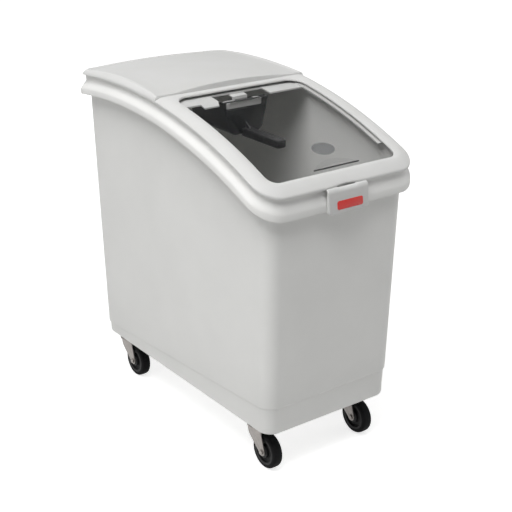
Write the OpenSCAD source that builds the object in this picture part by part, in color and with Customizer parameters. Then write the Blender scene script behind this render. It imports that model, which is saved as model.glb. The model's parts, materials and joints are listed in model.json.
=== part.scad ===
// Rolling ingredient bin: a drafted tub on four swivel casters, an arched lift-off lid with a
// clear window that slides back under the rear cover, and a scoop that hangs inside.
// Millimetres. X runs across the bin, the front faces -Y and +Z is up from the floor.

/* [Tub] */
// Width over the rolled rim
rim_w = 392; // [376:1:420]
// Length over the rolled rim
rim_l = 708; // [680:1:740]
// Plan radius of the rim's corners
rim_corner_r = 55; // [50:1:62]
// Height of the rim's lower edge at the crest of its arch
rim_crest_z = 689; // [650:1:730]
// Radius of the arch along the rim's lower edge
arch_r = 1129; // [1060:1:1250]
// Distance of the arch's crest behind the middle of the bin
arch_y = 168; // [150:1:185]
// Overhang of the rim beyond the side walls
rim_side_out = 23; // [21:0.5:26]
// Overhang of the rim beyond the front wall
rim_front_out = 16; // [15:0.5:19]
// Overhang of the rim beyond the rear wall
rim_rear_out = 20; // [19:0.5:24]
// Height of the rolled lower edge of the rim
roll_h = 20; // [16:0.5:24]
// How far the roll swells past its own edges
roll_swell = 5; // [3:0.5:7]
// Height of the neck between the roll and the lid's seat
neck_h = 23.7; // [20:0.1:28]
// Thickness of the walls and of the floor
wall_t = 4; // [3:0.5:5]
// Plan radius of the walls' corners
wall_corner_r = 38; // [32:1:44]
// Draft angle of the side walls
side_draft = 1; // [0.6:0.1:1.4]
// Draft angle of the front wall
front_draft = 1.7; // [1.2:0.1:2.2]
// Draft angle of the rear wall
rear_draft = 1.4; // [1:0.1:1.8]
// Height of the plinth at the front
plinth_front_h = 64; // [50:1:80]
// Height of the plinth at the rear
plinth_rear_h = 24; // [22:1:40]
// How far the walls step out above the plinth
plinth_step = 3; // [2:0.5:4]
// Radius of the floor's inner edge
floor_r = 10; // [6:1:12]

/* [Lift tab] */
// Width of the tab that hangs from the front lip
lift_tab_w = 98; // [80:1:120]
// Height of the tab
lift_tab_h = 45; // [36:1:52]
// How far the tab stands out from the rim
lift_tab_out = 10; // [8:0.5:13]
// Width of the slit in the top of the tab
slit_w = 42; // [30:1:60]
// Width of the plain inlay in the tab
inlay_w = 60; // [40:1:70]
// Height of the plain inlay in the tab
inlay_h = 14; // [10:0.5:18]
// Thickness of the inlay
inlay_t = 1.2; // [0.8:0.1:2]

/* [Lid] */
// How far the lid's edge stays inside the rim at the sides and the rear
lid_in = 6; // [5:0.5:7]
// Thickness of the lid's skin
skin_t = 5; // [4:0.5:6]
// Thickness of the skirt round the lid
skirt_t = 5; // [4:0.5:6]
// Drop of the skirt below the lid's seat
skirt_h = 8.5; // [6:0.5:11]
// Width of the rails beside the window opening
rail_w = 35; // [34:1:45]
// Depth of the front lip, from the lid's front edge to the opening
lip_l = 33; // [29:1:40]
// Distance of the opening's rear edge behind the middle of the bin
nosing_y = 6; // [0:1:16]
// Depth of the nosing, from the opening to the rear cover
nosing_l = 14; // [12:1:20]
// Plan radius of the opening's front corners
opening_r = 20; // [14:1:28]
// Plan radius of the opening's rear corners
opening_rear_r = 32; // [20:1:40]
// Rise of the rear cover's middle above its sides
deck_crown = 8; // [4:0.5:12]
// Width of the bead round the rear cover
bead_w = 16; // [12:1:20]
// Height of the bead above the deck
bead_h = 3.5; // [2:0.5:5]
// Width of the finger recess in the front lip
recess_w = 96; // [70:1:110]
// Depth of the finger recess in the front lip
recess_d = 6; // [4:0.5:8]

/* [Window and runners] */
// Thickness of the sliding window
window_t = 3; // [2.5:0.5:4]
// How far the window reaches under the rails at each side
window_lap = 4; // [3:0.5:5]
// How far the window reaches under the front lip and the nosing
window_end_lap = 20; // [10:1:24]
// Width of the finger pull on the window
pull_w = 116; // [90:1:140]
// Depth of the finger pull, front to back
pull_l = 22; // [16:1:30]
// Height of the finger pull
pull_h = 7; // [6:0.5:9]
// Wall of the finger pull
pull_t = 2; // [1.5:0.1:2.5]
// Distance of the finger pull behind the opening's front edge
pull_back = 14; // [8:1:24]
// Thickness of the runners' ledge
ledge_t = 3; // [2.5:0.5:4]
// How far the ledge shows inside the rails
ledge_show = 6; // [4:0.5:9]
// Width of the runners' upright
upright_w = 6; // [5.5:0.5:6.5]
// Distance of the runners' front ends behind the opening's front edge
runner_back = 50; // [30:1:80]
// Distance of the runners' rear ends inside the lid's rear edge
runner_rear_in = 41; // [36:1:50]
// Depth of the cross band in front of the opening's rear edge
band_front = 30; // [20:1:36]
// Depth of the cross band behind the opening's rear edge
band_back = 34; // [26:1:44]
// Width of the notch in the cross band
notch_w = 130; // [120:1:150]

/* [Scoop and hook] */
// Length of the hook's trough
hook_w = 94; // [80:1:100]
// Width of the hook's trough, front to back
hook_l = 20; // [18:0.5:24]
// Depth of the hook's trough
hook_h = 12; // [10:0.5:16]
// Thickness of the hook
hook_t = 3; // [2.5:0.5:4]
// Width of the strap that carries the hook
strap_w = 36; // [28:1:44]
// Width of the scoop at its rim
scoop_w = 114; // [108:1:122]
// Width of the scoop at its bottom
scoop_base_w = 88; // [78:1:96]
// Height of the scoop
scoop_h = 72; // [64:1:84]
// Length of the scoop's bowl
scoop_l = 130; // [110:1:150]
// Thickness of the scoop's wall
scoop_t = 2.5; // [2:0.1:3]
// Length of the scoop's handle
handle_l = 124; // [100:1:140]
// Width of the scoop's handle
handle_w = 24; // [20:1:30]
// Height of the scoop's handle
handle_h = 17; // [14:0.5:22]

/* [Casters] */
// Height of a caster, from the floor to the tub
caster_h = 102.5; // [101:0.5:110]
// Diameter of a wheel
wheel_d = 76.2; // [70:0.1:78]
// Width of a tyre
wheel_w = 22; // [18:0.5:24]
// Radial thickness of a tyre
tyre_t = 9; // [7:0.5:11]
// Trail of the axle in front of the kingpin
trail = 22; // [16:0.5:26]
// Distance of the kingpins inside the plinth's sides
caster_side_in = 39; // [36:0.5:48]
// Distance of the kingpins inside the plinth's front
caster_front_in = 72; // [56:0.5:90]
// Distance of the kingpins inside the plinth's rear
caster_rear_in = 55; // [52:0.5:80]
// Width of a mounting plate
plate_w = 60; // [58:1:64]
// Length of a mounting plate
plate_l = 84; // [78:1:92]
// Thickness of a mounting plate
plate_t = 3; // [2.5:0.5:4]
// Diameter of the kingpin
kingpin_d = 9; // [8:0.5:10]
// Diameter of the fork's crown
crown_d = 60; // [56:1:64]
// Thickness of the fork's legs
leg_t = 2.5; // [2:0.5:3]
// Clear width between the fork's legs
fork_gap = 27; // [25.5:0.5:29]
// Diameter of the axle bolt
axle_d = 8; // [7:0.5:9]
// Diameter of the bush on the axle
bush_d = 12; // [11:0.5:13]
// Diameter of the swivel balls
ball_d = 6; // [5:0.5:6.5]
// Number of swivel balls
ball_n = 12; // [8:1:14]

/* [Hidden] */
caster_names = ["fl", "fr", "rl", "rr"];

// Smoothness of round pieces, of the long arches and of the moulded skins
$fn = 48;
arch_fn = 720;
corner_steps = 8;
side_steps = 12;

// Clearances: a seat, a sliding gap, a running fit, a fixed fit and the overrun of every cut
seat_gap = 0.3;
slide_gap = 0.4;
running_gap = 0.05;
fit_gap = 0.1;
lid_play = 1;
overrun = 1;

// Arch of the rim and the lid: every long edge is concentric with it
arch_cz = rim_crest_z - arch_r;
roll_r = arch_r + roll_h;
seat_r = roll_r + neck_h;
lid_r = seat_r + seat_gap;
lid_top_r = lid_r + skin_t;
skirt_r = lid_r - skirt_h;
window_top_r = lid_r - slide_gap;
window_low_r = window_top_r - window_t;
ledge_top_r = window_low_r - slide_gap;
ledge_low_r = ledge_top_r - ledge_t;
upright_top_r = lid_r - seat_gap;

// Plan of the rim, centred with the tab so that the bin's box stands on the origin
rim_hw = rim_w/2;
rim_rear = (rim_l + lift_tab_out)/2;
rim_front = rim_rear - rim_l;
front_rim_z = arch_z(rim_front, arch_r);

// Section of the rim: shares of the swell and of the height of the roll, and shares of the neck
roll_in_shares = [0.8, 0.2, 0, 0.2, 0.8];
roll_up_shares = [0, 0.15, 0.5, 0.85, 1];
neck_in_shares = [0.8, 1, 1];
neck_up_shares = [0.08, 0.3, 0.94];
neck_in = lid_in + skirt_t + lid_play;
lid_front_in = 0.5;
neck_front_in = lid_front_in + skirt_t + lid_play;
neck_edge = 1.5;
base_z = caster_h;
base_edge = 5;
floor_z = base_z + wall_t;
pad_h = 10;
pad_rim = 4;

// Plan of the lid and of its opening
lid_hw = rim_hw - lid_in;
lid_front = rim_front + lid_front_in;
lid_rear = rim_rear - lid_in;
lid_corner_r = rim_corner_r - lid_in;
seam_r = 3;
seam_y = nosing_y + nosing_l;
opening_hw = lid_hw - rail_w;
opening_front = lid_front + lip_l;
recess_low_r = (recess_w*recess_w/4 + recess_d*recess_d)/(2*recess_d);
recess_h = 17;

// Tab under the front lip
tab_front = rim_front - lift_tab_out;
tab_top = arch_z(lid_front, skirt_r) - fit_gap;
tab_low = tab_top - lift_tab_h;
tab_slope = 3;
tab_foot_h = 8;
tab_r = 7;
slit_h = 3;
slit_wall = 4;
inlay_r = 4;
inlay_up_share = 0.4;
inlay_z = tab_low + lift_tab_h*inlay_up_share;

// Edge of the skin: shares of its thickness, inward and upward
edge_in_shares = [0, 0.36, 1.2, 2.8];
edge_up_shares = [-0.3, 0.54, 0.96, 1.24];
opening_edge_share = 0.7;
opening_edge_r = lid_r + skin_t*opening_edge_share;
opening_round_share = 0.6;
opening_round = skin_t*opening_round_share;
under_shares = [1/4, 1/2, 3/4, 1];
// Last station of the frame's right side, before the seam
seam_station = corner_steps + side_steps;
// Bead round the rear cover: shares of its width inward and of its height upward
bead_in_shares = [0, 0.25, 0.5, 0.75, 1];
bead_up_shares = [0, 0.7, 1, 0.7, 0];
bead_edge_in = 5;
deck_share = 0.74;
deck_r = lid_r + skin_t*deck_share;
// At the seam the edges are steeper, by this share of their width elsewhere
seam_in_share = 0.25;
// Crown of the cover: share of the lid's width that it spans, and of its rise that is left at the rear
crown_w_share = 0.74;
crown_hw = lid_hw*crown_w_share;
crown_rear_share = 0.5;
crown_shares = [0.84, 0.68, 0.52, 0.36, 0.2];
// Hollow under the crown
hollow_side_in = 60;
hollow_seam_in = 9;
hollow_rear_in = 50;
hollow_r = 20;

// Window, runners and their screws
window_hw = opening_hw + window_lap;
upright_hw = window_hw + slide_gap;
runner_hw = upright_hw + upright_w;
ledge_hw = opening_hw - ledge_show;
window_front_lap_share = 0.25;
window_front = opening_front - window_end_lap*window_front_lap_share;
window_rear = nosing_y + window_end_lap;
window_r = 14;
runner_front = opening_front + runner_back;
runner_rear = lid_rear - runner_rear_in;
band_drop_share = 0.5;
band_low_r = ledge_low_r - ledge_t*band_drop_share;
pull_y = opening_front + pull_back;
runner_screw_shares = [0.1, 0.38, 0.66, 0.92];
runner_screw_d = 3;
runner_screw_head_d = 5.6;
runner_screw_head_h = 1.8;
runner_screw_bite_share = 0.64;

// Hook and scoop, hung from the cross band
hook_y = nosing_y - band_front + hook_t/2;
hook_drop = 6.9;
hook_bead_r = 1.9;
hook_top = arch_z(hook_y, ledge_low_r) - hook_drop;
strap_lap_share = 0.7;
scoop_swing_gap = 1.5;
scoop_wall_y = hook_y - hook_t/2 - scoop_swing_gap;
scoop_top = hook_top + hook_bead_r + seat_gap + scoop_t;
scoop_bottom = scoop_top - scoop_h;
scoop_corner_r = 20;
scoop_mouth_share = 0.5;
flange_w_share = 0.36;
flange_h_share = 0.62;
handle_up = 13;
handle_r = 5;
handle_tip_r = 9;

// Casters
base_hw = wall_hw(base_z) - plinth_step;
base_front = wall_front(base_z) + plinth_step;
base_rear = wall_rear(base_z) - plinth_step;
caster_x = base_hw - caster_side_in;
caster_front_y = base_front + caster_front_in;
caster_rear_y = base_rear - caster_rear_in;
caster_places = [[-caster_x, caster_front_y], [caster_x, caster_front_y],
                 [-caster_x, caster_rear_y], [caster_x, caster_rear_y]];
axle_z = wheel_d/2;
plate_r = 6;
plate_bolt_in = 9;
plate_screw_d = 5;
plate_screw_head_d = 9;
plate_screw_head_h = 2.2;
race_h = 3.5;
race_d = 50;
race_gap = 2;
race_low = caster_h - plate_t - race_h;
ball_z = race_low - race_gap/2;
ball_circle_r = 18;
crown_top = race_low - race_gap;
crown_t = 4;
crown_low = crown_top - crown_t;
kingpin_head_d = 18;
kingpin_head_h = 3;
boss_r = 8.5;
leg_top_r_share = 0.36;
leg_top_y = 4;
leg_top_drop = 13;
axle_head_d = 11;
axle_head_h = 3.5;
hub_side_play = 0.4;
hub_r = 13;
web_t = 9;
hub_rim_t = 5;
tyre_round = 5;

// Colours
tub_white = "#ECEBE9";
lid_white = "#F1F1F0";
smoke = [0.55, 0.57, 0.58, 0.5];
zinc = "#A9ABAC";
black_rubber = "#1D1D1F";
inlay_red = "#C8201C";

// Height of a point on the arch of radius r
function arch_z(y, r) = arch_cz + sqrt(r*r - (y - arch_y)*(y - arch_y));

// Angle on the arch of radius r, seen along the bin's width
function arch_angle(y, r) = acos((y - arch_y)/r);

// Plan outlines with rounded corners, as rings of matching stations
function corner(cx, cy, r, start) = [for (i = [0 : corner_steps])
    let (a = start + 90*i/corner_steps) [cx + r*cos(a), cy + r*sin(a)]];
function side_run(x, y0, y1) = [for (i = [1 : side_steps - 1]) [x, y0 + (y1 - y0)*i/side_steps]];
function outline(hw, front, rear, rf, rr) = concat(
    corner(hw - rf, front + rf, rf, -90), side_run(hw, front + rf, rear - rr),
    corner(hw - rr, rear - rr, rr, 0), corner(-hw + rr, rear - rr, rr, 90),
    side_run(-hw, rear - rr, front + rf), corner(-hw + rf, front + rf, rf, 180));
function rim_outline(inset, front_inset) = outline(rim_hw - inset, rim_front + front_inset,
    rim_rear - inset, rim_corner_r - inset, rim_corner_r - inset);

// Drafted walls at a height, and the plinth line that falls towards the rear
function wall_hw(z) = rim_hw - rim_side_out - (rim_crest_z - z)*tan(side_draft);
function wall_front(z) = rim_front + rim_front_out + (front_rim_z - z)*tan(front_draft);
function wall_rear(z) = rim_rear - rim_rear_out - (rim_crest_z - z)*tan(rear_draft);
function wall_outline(z, inset) = outline(wall_hw(z) - inset, wall_front(z) + inset,
    wall_rear(z) - inset, wall_corner_r - inset, wall_corner_r - inset);
function plinth_z(y) = base_z + plinth_front_h
    + (plinth_rear_h - plinth_front_h)*(y - rim_front)/(rim_rear - rim_front);

// Rings in space: level, on the arch, on the drafted wall under the arch, on the plinth line
function level(points, z) = [for (p = points) [p.x, p.y, z]];
function lift(points, r) = [for (p = points) [p.x, p.y, arch_z(p.y, r)]];
function wall_lift(r, inset) = let (start = wall_outline(rim_crest_z, inset))
    [for (i = [0 : len(start) - 1])
        let (p = wall_outline(arch_z(start[i].y, r), inset)[i]) [p.x, p.y, arch_z(p.y, r)]];
function wall_step(up, inset) = let (start = wall_outline(base_z, inset))
    [for (i = [0 : len(start) - 1])
        let (p = wall_outline(plinth_z(start[i].y), inset)[i]) [p.x, p.y, plinth_z(p.y) + up]];

// Solid skinned over rings; a closed one joins its last ring to its first, others are capped
function cap(first, n, up) = [for (i = [0 : n/2 - 2])
    let (a = first + i, b = first + i + 1, c = first + n - 2 - i, d = first + n - 1 - i)
    each up ? [[a, c, b], [a, d, c]] : [[a, b, c], [a, c, d]]];
module skin(rings, closed = false) {
    n = len(rings[0]);
    m = len(rings);
    sides = [for (k = [0 : closed ? m - 1 : m - 2]) for (i = [0 : n - 1])
        let (a = k*n + i, b = k*n + (i + 1)%n, c = ((k + 1)%m)*n + (i + 1)%n, d = ((k + 1)%m)*n + i)
        each [[a, d, c], [a, c, b]]];
    caps = closed ? [] : concat(cap(0, n, false), cap((m - 1)*n, n, true));
    polyhedron([for (ring = rings) each ring], concat(sides, caps));
}

// Section in Y and Z drawn across the width
module across(w) {
    rotate([90, 0, 90]) linear_extrude(w, center = true) children();
}

// Section in radius and X swept along the arch between two places
module along_arch(y0, y1, r) {
    a0 = arch_angle(y1, r);
    translate([0, arch_y, arch_cz]) rotate(120, [1, 1, 1])
        rotate([0, 0, a0]) rotate_extrude(angle = arch_angle(y0, r) - a0, $fn = arch_fn) children();
}

// Frame at a place on the arch, with its Z along the radius
module on_arch(x, y, r) {
    translate([x, arch_y, arch_cz]) rotate([arch_angle(y, r) - 90, 0, 0]) translate([0, 0, r]) children();
}

module rounded_rect(w, l, r) {
    square([w - 2*r, l], center = true);
    square([w, l - 2*r], center = true);
    for (sx = [-1, 1], sy = [-1, 1])
        translate([sx*(w/2 - r), sy*(l/2 - r)]) circle(r);
}

// Tub
function rim_rings() = concat(
    [lift(rim_outline(neck_in + wall_t, neck_front_in + wall_t), seat_r - wall_t),
     lift(rim_outline(neck_in + wall_t, neck_front_in + wall_t), roll_r - wall_t),
     lift(rim_outline(roll_swell + wall_t, roll_swell + wall_t), roll_r - wall_t),
     lift(rim_outline(roll_swell + wall_t, roll_swell + wall_t), arch_r)],
    [for (i = [0 : len(roll_in_shares) - 1])
        lift(rim_outline(roll_swell*roll_in_shares[i], roll_swell*roll_in_shares[i]),
             arch_r + roll_h*roll_up_shares[i])],
    [for (i = [0 : len(neck_in_shares) - 1])
        lift(rim_outline(neck_in*neck_in_shares[i], neck_front_in*neck_in_shares[i]),
             roll_r + neck_h*neck_up_shares[i])],
    [lift(rim_outline(neck_in + neck_edge, neck_front_in + neck_edge), seat_r)]);
function tub_rings() = concat(
    [level(wall_outline(base_z, plinth_step + base_edge), base_z),
     level(wall_outline(base_z, plinth_step), base_z + base_edge),
     wall_step(-plinth_step, plinth_step),
     wall_step(0, 0),
     wall_lift(seat_r - wall_t, 0)],
    rim_rings(),
    [wall_lift(seat_r, wall_t),
     wall_step(0, wall_t),
     wall_step(-plinth_step, plinth_step + wall_t),
     level(wall_outline(floor_z, plinth_step + wall_t), floor_z + floor_r),
     level(wall_outline(floor_z, plinth_step + wall_t + floor_r), floor_z)]);

module at_caster(i) {
    translate(caster_places[i]) children();
}

module at_plate_holes() {
    for (sx = [-1, 1], sy = [-1, 1])
        translate([sx*(plate_w/2 - plate_bolt_in), sy*(plate_l/2 - plate_bolt_in)]) children();
}

// Pads on the floor take the screws of the casters, which don't break through
module caster_pad() {
    translate([0, 0, floor_z - wall_t/2])
        linear_extrude(pad_h + wall_t/2) rounded_rect(plate_w, plate_l, plate_r);
}

module tub() {
    color(tub_white) difference() {
        union() {
            skin(tub_rings());
            for (i = [0 : 3]) at_caster(i) caster_pad();
        }
        for (i = [0 : 3]) at_caster(i) at_plate_holes()
            translate([0, 0, base_z - overrun])
                cylinder(d = plate_screw_d + 2*fit_gap, h = floor_z + pad_h - pad_rim - base_z + overrun);
    }
}

// Tab under the front lip: it hangs in front of the rim, and its foot reaches in under the skirt
module tab_pocket(gap, depth) {
    translate([0, tab_front, inlay_z]) rotate([-90, 0, 0])
        linear_extrude(depth) rounded_rect(inlay_w + 2*gap, inlay_h + 2*gap, inlay_r + gap);
}

module lift_tab() {
    foot_y = lid_front + skirt_t;
    color(lid_white) difference() {
        intersection() {
            across(lift_tab_w) polygon([[tab_front, tab_low], [tab_front, tab_top - tab_slope],
                [lid_front, tab_top], [foot_y, arch_z(foot_y, skirt_r) - fit_gap],
                [foot_y, tab_top - tab_foot_h], [rim_front - seat_gap, tab_top - tab_foot_h - seat_gap],
                [rim_front - seat_gap, tab_low]]);
            translate([0, tab_front - overrun, tab_low + lift_tab_h]) rotate([-90, 0, 0])
                linear_extrude(lift_tab_out + skirt_t + 2*overrun)
                    rounded_rect(lift_tab_w, 2*lift_tab_h, tab_r);
        }
        translate([-slit_w/2, tab_front + slit_wall, tab_top - slit_h])
            cube([slit_w, lift_tab_out + skirt_t, lift_tab_h]);
        translate([0, -overrun, 0]) tab_pocket(fit_gap, inlay_t + overrun);
    }
}

module tab_inlay() {
    color(inlay_red) tab_pocket(0, inlay_t);
}

// Lid: the front frame round the window and the rear cover behind it, whose skirts stop at the seam
function at_frame_seam(i) = i > seam_station && i < seam_station + 2*corner_steps + 1;
function frame_outline(inset) = outline(lid_hw - inset, lid_front + inset, seam_y - inset*seam_in_share,
    lid_corner_r - inset, max(seam_r - inset, seam_r/4));
function opening_outline(out) = outline(opening_hw + out, opening_front - out, nosing_y + out,
    opening_r + out, opening_rear_r + out);
function between(a, b, share) = [for (i = [0 : len(a) - 1]) a[i] + (b[i] - a[i])*share];
function frame_edge(inset, r, seam_edge_r) = let (points = frame_outline(inset))
    [for (i = [0 : len(points) - 1]) let (p = points[i])
        [p.x, p.y, arch_z(p.y, at_frame_seam(i) ? max(r, seam_edge_r) : r)]];
function frame_rings() = concat(
    [frame_edge(0, skirt_r, lid_r)],
    [for (i = [0 : len(edge_in_shares) - 1])
        frame_edge(skin_t*edge_in_shares[i], lid_r + skin_t*edge_up_shares[i], opening_edge_r)],
    [lift(between(frame_outline(skin_t*edge_in_shares[3]), opening_outline(opening_round), 1/2), lid_top_r),
     lift(opening_outline(opening_round), lid_top_r),
     lift(opening_outline(0), opening_edge_r),
     lift(opening_outline(0), lid_r)],
    [for (share = under_shares) lift(between(opening_outline(0), frame_outline(skirt_t), share), lid_r)],
    [frame_edge(skirt_t, skirt_r, lid_r)]);

// Cone that scoops an arched finger recess out of the front lip
module finger_recess() {
    low = arch_z(lid_front, skirt_r) - overrun;
    translate([0, lid_front + recess_d - recess_low_r, low])
        cylinder(r1 = recess_low_r, r2 = recess_low_r - recess_d, h = recess_h, $fn = 4*$fn);
}

module at_runner_screws() {
    for (side = [-1, 1], share = runner_screw_shares)
        on_arch(side*(upright_hw + upright_w/2), runner_front + (runner_rear - runner_front)*share,
                ledge_low_r) children();
}

module runner_screw_holes() {
    at_runner_screws() translate([0, 0, -overrun])
        cylinder(d = runner_screw_d + 2*fit_gap,
                 h = lid_r - ledge_low_r + skin_t*runner_screw_bite_share + fit_gap + overrun);
}

module front_frame() {
    color(lid_white) difference() {
        skin(frame_rings(), closed = true);
        finger_recess();
        runner_screw_holes();
    }
}

function at_cover_seam(i, n) = i < corner_steps || i > n - 1 - corner_steps;
function cover_outline(inset) = outline(lid_hw - inset, seam_y + seat_gap + inset*seam_in_share,
    lid_rear - inset, max(seam_r - inset, seam_r/4), lid_corner_r - inset);
function cover_skirt(inset) = let (points = cover_outline(inset))
    [for (i = [0 : len(points) - 1]) let (p = points[i])
        [p.x, p.y, arch_z(p.y, at_cover_seam(i, len(points)) ? lid_r : skirt_r)]];

// Crown of the cover's middle, which falls towards the rear
function crown(p) = deck_crown*max(0, 1 - p.x*p.x/(crown_hw*crown_hw))
    *(1 - (1 - crown_rear_share)*(p.y - seam_y)/(lid_rear - seam_y));
function crowned(points, r) = [for (p = points) [p.x, p.y, arch_z(p.y, r + crown(p))]];
function drawn_in(points, share) = let (middle = [0, (seam_y + lid_rear)/2])
    [for (p = points) middle + (p - middle)*share];
function cover_rings() = let (deck = cover_outline(bead_edge_in + bead_w)) concat(
    [lift(cover_outline(skirt_t), lid_r),
     cover_skirt(skirt_t),
     cover_skirt(0),
     lift(cover_outline(0), lid_r + skin_t*edge_up_shares[1])],
    [for (i = [0 : len(bead_in_shares) - 1])
        crowned(cover_outline(bead_edge_in + bead_w*bead_in_shares[i]), deck_r + bead_h*bead_up_shares[i])],
    [for (share = crown_shares) crowned(drawn_in(deck, share), deck_r)]);
function hollow_rings() = let (edge = outline(lid_hw - hollow_side_in, seam_y + hollow_seam_in,
        lid_rear - hollow_rear_in, hollow_r, hollow_r)) concat(
    [lift(edge, lid_r - overrun), crowned(edge, lid_r)],
    [for (share = crown_shares) crowned(drawn_in(edge, share), lid_r)]);

module rear_cover() {
    color(lid_white) difference() {
        skin(cover_rings());
        skin(hollow_rings());
        runner_screw_holes();
    }
}

// Runners under the rails carry the window, and the cross band between them carries the hook
module runner_section(side) {
    mirror([0, side < 0 ? 1 : 0]) {
        translate([ledge_low_r, ledge_hw]) square([ledge_t, runner_hw - ledge_hw]);
        translate([ledge_low_r, upright_hw]) square([upright_top_r - ledge_low_r, upright_w]);
    }
}

module runner_frame() {
    color(lid_white) difference() {
        union() {
            for (side = [-1, 1])
                along_arch(runner_front, runner_rear, ledge_low_r) runner_section(side);
            along_arch(nosing_y - band_front, nosing_y + band_back, ledge_low_r)
                translate([band_low_r, -ledge_hw - ledge_show]) square([ledge_t, 2*(ledge_hw + ledge_show)]);
        }
        translate([0, nosing_y - band_front, arch_z(nosing_y, ledge_low_r)])
            linear_extrude(8*ledge_t, center = true)
                square([notch_w, 2*band_front], center = true);
        runner_screw_holes();
    }
}

module runner_screws() {
    color(zinc) at_runner_screws() {
        cylinder(d = runner_screw_d, h = lid_r - ledge_low_r + skin_t*runner_screw_bite_share);
        translate([0, 0, -runner_screw_head_h]) cylinder(d = runner_screw_head_d, h = runner_screw_head_h);
    }
}

// Hook: an open trough on a strap under the cross band, with a bead that the scoop swings on
module stadium(w, l) {
    square([w - l, l], center = true);
    for (side = [-1, 1]) translate([side*(w - l)/2, 0]) circle(d = l);
}

module scoop_hook() {
    trough_y = hook_y - hook_t/2 + hook_l/2;
    web_y = trough_y + hook_l/2;
    web_front = web_y - hook_t;
    web_low = hook_top - hook_h/2;
    strap_rear = nosing_y + band_back*strap_lap_share;
    strap_r = band_low_r - fit_gap;
    color(lid_white) union() {
        translate([0, trough_y, hook_top - hook_h]) difference() {
            linear_extrude(hook_h) stadium(hook_w, hook_l);
            translate([0, 0, hook_t]) linear_extrude(hook_h) stadium(hook_w - 2*hook_t, hook_l - 2*hook_t);
        }
        translate([0, hook_y, hook_top]) rotate([0, 90, 0])
            cylinder(r = hook_bead_r, h = hook_w - hook_l, center = true);
        across(strap_w) polygon([[web_front, web_low], [web_front, arch_z(web_front, strap_r)],
            [strap_rear, arch_z(strap_rear, strap_r)], [strap_rear, arch_z(strap_rear, strap_r - hook_t)],
            [web_y, arch_z(web_y, strap_r - hook_t)], [web_y, web_low]]);
    }
}

// Window: a clear arched sheet with a finger pull moulded like a low hood, open to the front
module window_panel() {
    length = window_rear - window_front;
    color(smoke) intersection() {
        along_arch(window_front - overrun, window_rear + overrun, window_low_r)
            translate([window_low_r, -window_hw - overrun]) square([window_t, 2*(window_hw + overrun)]);
        translate([0, window_front + length/2, 0])
            linear_extrude(rim_crest_z + roll_h + neck_h) rounded_rect(2*window_hw, length, window_r);
    }
}

module window_pull() {
    hood_r = (pull_w*pull_w/4 + pull_h*pull_h)/(2*pull_h);
    tilt = atan(pull_h/pull_l);
    color(smoke) on_arch(0, pull_y + pull_l/2, window_top_r) intersection() {
        translate([-pull_w/2, -pull_l/2, 0]) cube([pull_w, pull_l, pull_h]);
        translate([0, -pull_l/2, pull_h - hood_r/cos(tilt)]) rotate([-90 - tilt, 0, 0]) difference() {
            cylinder(r = hood_r, h = 2*hood_r, center = true, $fn = arch_fn);
            cylinder(r = hood_r - pull_t, h = 2*hood_r + 2*overrun, center = true, $fn = arch_fn);
        }
    }
}

// Scoop: an open bowl whose end wall hooks over the trough, and a bar handle
function bowl_points(inset) = let (
        top = scoop_w/2 - inset, low = scoop_base_w/2 - inset, bottom = scoop_bottom + inset,
        r = scoop_corner_r - inset, lean = atan((scoop_w - scoop_base_w)/2/scoop_h),
        cx = low - r, cz = bottom + r)
    concat([[top, scoop_top + (inset > 0 ? overrun : 0)]],
        [for (i = [0 : corner_steps]) let (a = -lean*(1 - i/corner_steps) - 90*i/corner_steps)
            [cx + r*cos(a), cz + r*sin(a)]],
        [for (i = [0 : corner_steps]) let (a = -lean*i/corner_steps - 90*(1 - i/corner_steps))
            [-cx - r*cos(a), cz + r*sin(a)]],
        [[-top, scoop_top + (inset > 0 ? overrun : 0)]]);

// Section in X and Z drawn from the front to the rear
module along_bowl(y, l) {
    translate([0, y + l, 0]) rotate([90, 0, 0]) linear_extrude(l) children();
}

module scoop_bowl() {
    flange_y = hook_y + hook_t/2 + scoop_swing_gap;
    flange_w = scoop_w*flange_w_share;
    rim_y = scoop_wall_y - scoop_t;
    mouth_y = scoop_wall_y + scoop_l;
    cut_h = scoop_h*scoop_mouth_share;
    color(smoke) union() {
        difference() {
            along_bowl(rim_y, scoop_l) polygon(bowl_points(0));
            along_bowl(scoop_wall_y, scoop_l + overrun) polygon(bowl_points(scoop_t));
            across(scoop_w + 2*overrun) polygon([[flange_y + scoop_t, scoop_top],
                [mouth_y, scoop_top - cut_h], [mouth_y, scoop_top + overrun],
                [flange_y + scoop_t, scoop_top + overrun]]);
        }
        translate([-flange_w/2, rim_y, scoop_top - scoop_t])
            cube([flange_w, flange_y + scoop_t - rim_y, scoop_t]);
        translate([-flange_w/2, flange_y, scoop_top - scoop_t - hook_h*flange_h_share])
            cube([flange_w, scoop_t, hook_h*flange_h_share + scoop_t]);
    }
}

module scoop_handle() {
    handle_top = scoop_bottom + handle_up;
    handle_rear = scoop_wall_y - scoop_t;
    color(black_rubber) intersection() {
        along_bowl(handle_rear - handle_l, handle_l) translate([0, handle_top - handle_h/2])
            rounded_rect(handle_w, handle_h, handle_r);
        translate([0, handle_rear - handle_l/2, handle_top - handle_h]) linear_extrude(handle_h) union() {
            rounded_rect(handle_w, handle_l, handle_tip_r);
            translate([-handle_w/2, 0]) square([handle_w, handle_l/2]);
        }
    }
}

// Caster pieces, each about its own kingpin with the floor at zero
module ball_groove() {
    rotate_extrude() translate([ball_circle_r, ball_z]) circle(d = ball_d + 2*fit_gap);
}

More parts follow.
